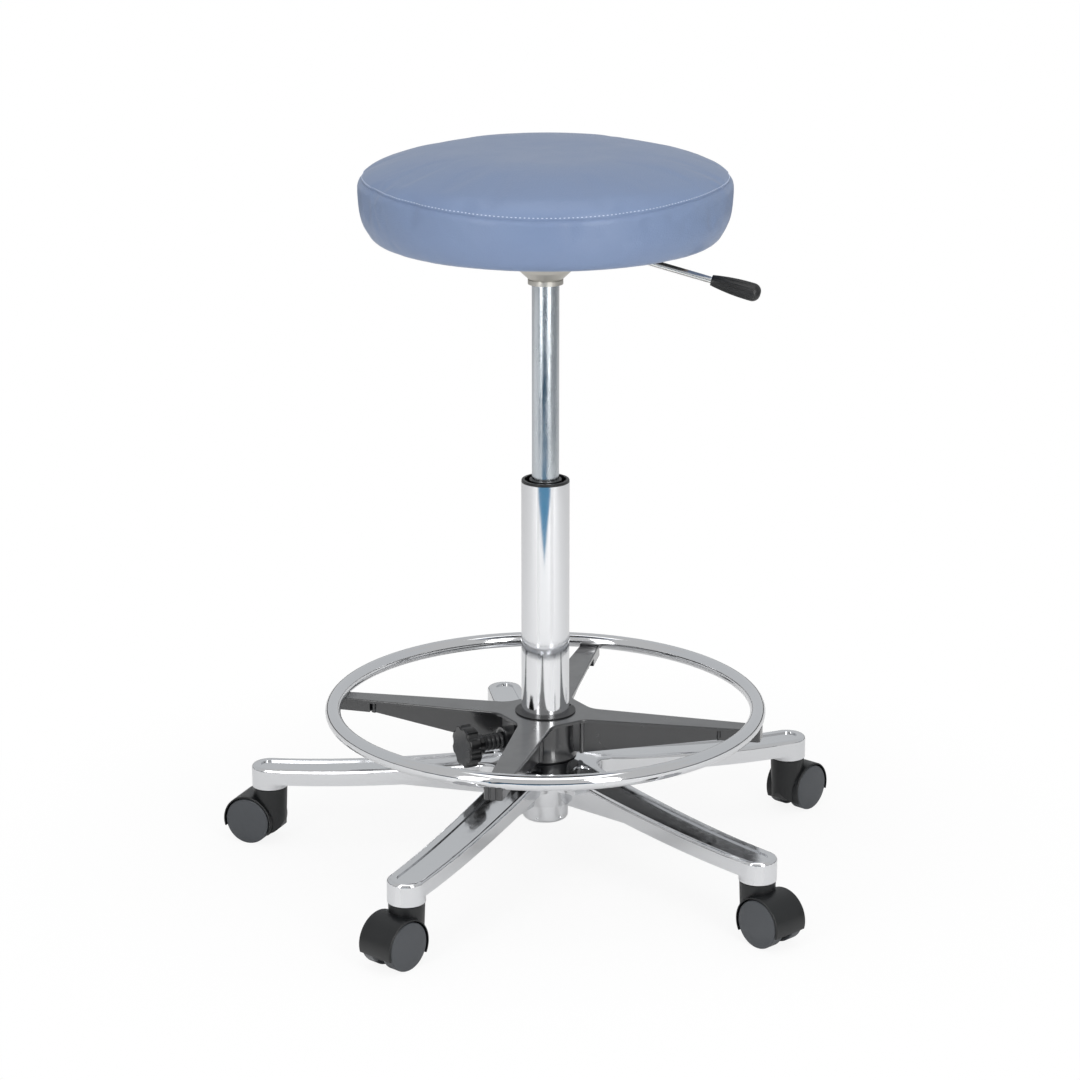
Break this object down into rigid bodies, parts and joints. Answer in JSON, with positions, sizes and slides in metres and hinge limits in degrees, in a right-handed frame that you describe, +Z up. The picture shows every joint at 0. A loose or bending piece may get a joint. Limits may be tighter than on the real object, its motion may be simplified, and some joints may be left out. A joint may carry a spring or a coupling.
{
  "type": "dentist stool",
  "caption": "Height-adjustable work stool with a round upholstered seat, a release lever, a clamped foot ring on a spider and a polished star base on twin-wheel castors.",
  "frame": {"origin": "on the floor, on the column's axis", "axes": "+Z up along the column, +X to the right and +Y away from someone facing the stool with the lever at their right"},
  "size_m": [0.6594, 0.6617, 0.7602],
  "materials": {
    "polished_aluminium": "polished",
    "cast_aluminium": "satin",
    "chrome": "polished",
    "ground_steel": "fine ground",
    "steel": "zinc plated",
    "axle_steel": "plain",
    "black_steel": "blackened",
    "black_plastic": "fine texture",
    "castor_nylon": "satin",
    "gloss_black_plastic": "gloss",
    "black_paint": "satin",
    "rubber": "matt",
    "birch_plywood": "plain",
    "foam": "open-cell foam",
    "blue_leatherette": "fine grain, satin",
    "black_nonwoven": "matt",
    "staple_wire": "plain"
  },
  "bodies": {
    "base": {"base_star": "polished_aluminium", "column_tube": "chrome", "column_bottom_plate": "steel", "column_guide_bush": "black_plastic", "lower_bearing_washer": "steel", "castor_stems": "steel", "stem_grip_rings": "steel"},
    "rod": {"piston_rod": "ground_steel", "rod_clip": "steel", "piston": "black_plastic", "upper_bearing_washer": "steel", "thrust_balls": "steel", "ball_cage": "black_plastic", "bump_stop": "rubber"},
    "seat": {"pressure_tube": "ground_steel", "rod_guide": "black_plastic", "valve_block": "steel", "seat_socket": "cast_aluminium", "socket_screws": "steel", "tee_nuts": "steel", "lever_pivot": "steel", "seat_board": "birch_plywood", "seat_foam": "foam", "seat_cover": "blue_leatherette", "seat_underlining": "black_nonwoven", "seat_staples": "staple_wire"},
    "release_pin": {"release_pin": "steel"},
    "lever": {"lever_rod": "chrome", "lever_handle": "gloss_black_plastic"},
    "ring_bush": {"ring_bush": "black_plastic"},
    "footrest": {"spider": "black_paint", "foot_ring": "chrome", "ring_screws": "steel", "clamp_insert": "black_steel"},
    "clamp_pad": {"clamp_pad": "black_plastic"},
    "clamp_knob": {"clamp_stud": "black_steel", "clamp_knob": "gloss_black_plastic"},
    "castor_1": {"castor_1_housing": "castor_nylon", "castor_1_axle": "axle_steel"},
    "castor_1_wheel_left": {"castor_1_wheel_left": "castor_nylon"},
    "castor_1_wheel_right": {"castor_1_wheel_right": "castor_nylon"},
    "castor_2": {"castor_2_housing": "castor_nylon", "castor_2_axle": "axle_steel"},
    "castor_2_wheel_left": {"castor_2_wheel_left": "castor_nylon"},
    "castor_2_wheel_right": {"castor_2_wheel_right": "castor_nylon"},
    "castor_3": {"castor_3_housing": "castor_nylon", "castor_3_axle": "axle_steel"},
    "castor_3_wheel_left": {"castor_3_wheel_left": "castor_nylon"},
    "castor_3_wheel_right": {"castor_3_wheel_right": "castor_nylon"},
    "castor_4": {"castor_4_housing": "castor_nylon", "castor_4_axle": "axle_steel"},
    "castor_4_wheel_left": {"castor_4_wheel_left": "castor_nylon"},
    "castor_4_wheel_right": {"castor_4_wheel_right": "castor_nylon"},
    "castor_5": {"castor_5_housing": "castor_nylon", "castor_5_axle": "axle_steel"},
    "castor_5_wheel_left": {"castor_5_wheel_left": "castor_nylon"},
    "castor_5_wheel_right": {"castor_5_wheel_right": "castor_nylon"}
  },
  "joints": [
    {"name": "seat_swivel", "type": "hinge", "parent": "base", "child": "rod", "pos_m": [0, 0, 0.05805], "axis": [0, 0, 1], "continuous": true},
    {"name": "seat_lift", "type": "slide", "parent": "rod", "child": "seat", "axis": [0, 0, 1], "range_m": [-0.2, 0]},
    {"name": "lever_lift", "type": "hinge", "parent": "seat", "child": "lever", "pos_m": [0.02757, -0.00486, 0.6565], "axis": [-0.1736, -0.9848, 0], "range_deg": [0, 6], "stiffness_Nm_per_rad": 1.5, "springref_deg": -5.73},
    {"name": "release_pin_press", "type": "slide", "parent": "seat", "child": "release_pin", "axis": [0, 0, -1], "range_m": [0, 0.0032]},
    {"name": "foot_ring_lift", "type": "slide", "parent": "base", "child": "ring_bush", "axis": [0, 0, 1], "range_m": [0, 0.2]},
    {"name": "foot_ring_turn", "type": "hinge", "parent": "ring_bush", "child": "footrest", "pos_m": [0, 0, 0.14], "axis": [0, 0, 1], "continuous": true},
    {"name": "clamp_pad_press", "type": "slide", "parent": "footrest", "child": "clamp_pad", "axis": [-0.8829, -0.4695, 0], "range_m": [0, 0.003]},
    {"name": "clamp_knob_turn", "type": "hinge", "parent": "clamp_pad", "child": "clamp_knob", "pos_m": [-0.07505, -0.03991, 0.1405], "axis": [-0.8829, -0.4695, 0], "range_deg": [0, 216]},
    {"name": "castor_1_swivel", "type": "hinge", "parent": "base", "child": "castor_1", "pos_m": [-0.04685, 0.29581, 0.0624], "axis": [0, 0, 1], "continuous": true},
    {"name": "castor_1_roll_left", "type": "hinge", "parent": "castor_1", "child": "castor_1_wheel_left", "pos_m": [-0.06772, 0.30649, 0.025], "axis": [-0.9063, -0.4226, 0], "continuous": true},
    {"name": "castor_1_roll_right", "type": "hinge", "parent": "castor_1", "child": "castor_1_wheel_right", "pos_m": [-0.04162, 0.31867, 0.025], "axis": [-0.9063, -0.4226, 0], "continuous": true},
    {"name": "castor_2_swivel", "type": "hinge", "parent": "base", "child": "castor_2", "pos_m": [-0.29581, 0.04685, 0.0624], "axis": [0, 0, 1], "continuous": true},
    {"name": "castor_2_roll_left", "type": "hinge", "parent": "castor_2", "child": "castor_2_wheel_left", "pos_m": [-0.31836, 0.04043, 0.025], "axis": [-0.3746, -0.9272, 0], "continuous": true},
    {"name": "castor_2_roll_right", "type": "hinge", "parent": "castor_2", "child": "castor_2_wheel_right", "pos_m": [-0.30757, 0.06713, 0.025], "axis": [-0.3746, -0.9272, 0], "continuous": true},
    {"name": "castor_3_swivel", "type": "hinge", "parent": "base", "child": "castor_3", "pos_m": [-0.13597, -0.26686, 0.0624], "axis": [0, 0, 1], "continuous": true},
    {"name": "castor_3_roll_left", "type": "hinge", "parent": "castor_3", "child": "castor_3_wheel_left", "pos_m": [-0.13744, -0.29025, 0.025], "axis": [0.749, -0.6626, 0], "continuous": true},
    {"name": "castor_3_roll_right", "type": "hinge", "parent": "castor_3", "child": "castor_3_wheel_right", "pos_m": [-0.15901, -0.27117, 0.025], "axis": [0.749, -0.6626, 0], "continuous": true},
    {"name": "castor_4_swivel", "type": "hinge", "parent": "base", "child": "castor_4", "pos_m": [0.21178, -0.21178, 0.0624], "axis": [0, 0, 1], "continuous": true},
    {"name": "castor_4_roll_left", "type": "hinge", "parent": "castor_4", "child": "castor_4_wheel_left", "pos_m": [0.23496, -0.21529, 0.025], "axis": [0.7254, 0.6884, 0], "continuous": true},
    {"name": "castor_4_roll_right", "type": "hinge", "parent": "castor_4", "child": "castor_4_wheel_right", "pos_m": [0.21407, -0.23511, 0.025], "axis": [0.7254, 0.6884, 0], "continuous": true},
    {"name": "castor_5_swivel", "type": "hinge", "parent": "base", "child": "castor_5", "pos_m": [0.26686, 0.13597, 0.0624], "axis": [0, 0, 1], "continuous": true},
    {"name": "castor_5_roll_left", "type": "hinge", "parent": "castor_5", "child": "castor_5_wheel_left", "pos_m": [0.26813, 0.15938, 0.025], "axis": [-0.7547, 0.6561, 0], "continuous": true},
    {"name": "castor_5_roll_right", "type": "hinge", "parent": "castor_5", "child": "castor_5_wheel_right", "pos_m": [0.28986, 0.14049, 0.025], "axis": [-0.7547, 0.6561, 0], "continuous": true}
  ],
  "couplings": [
    {"joint": "release_pin_press", "follows": "lever_lift", "m_per_rad": 0.03},
    {"joint": "clamp_knob_turn", "follows": "clamp_pad_press", "rad_per_m": 1256.6}
  ]
}
